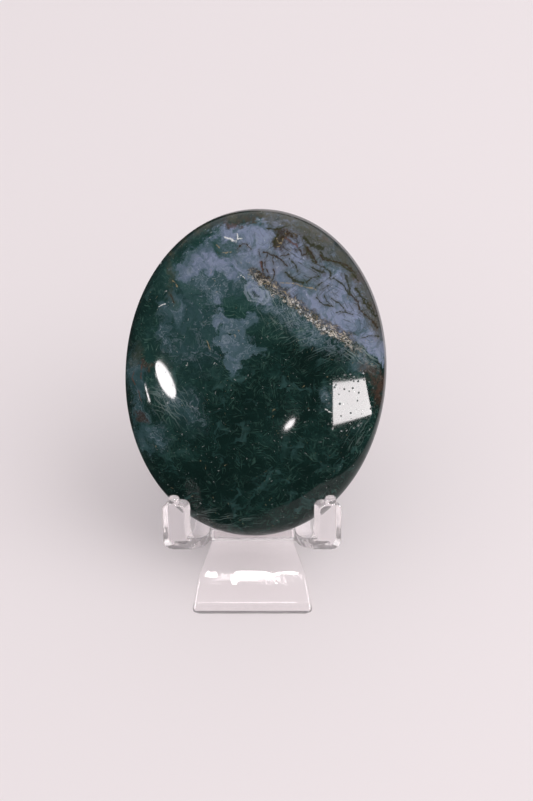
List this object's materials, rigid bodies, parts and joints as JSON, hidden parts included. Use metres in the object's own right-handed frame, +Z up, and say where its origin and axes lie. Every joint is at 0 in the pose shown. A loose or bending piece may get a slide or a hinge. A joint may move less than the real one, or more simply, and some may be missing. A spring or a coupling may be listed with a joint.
{
  "type": "moss agate palm stone on a small easel",
  "caption": "Polished oval moss agate palm stone leaning in a small clear plastic two-piece easel with upturned front lips.",
  "frame": {"origin": "on the table, below the middle of the whole object's box", "axes": "+X to the viewer's right, +Y away from the viewer, from the front foot to the rear foot, +Z up"},
  "size_m": [0.0548, 0.061, 0.0674],
  "materials": {
    "moss_agate": "polished, deep green moss in blue-grey chalcedony",
    "clear_plastic": "clear, moulded, glossy"
  },
  "bodies": {
    "root": {"moss_agate": "moss_agate", "back_rest": "clear_plastic", "cradle": "clear_plastic"}
  },
  "joints": []
}
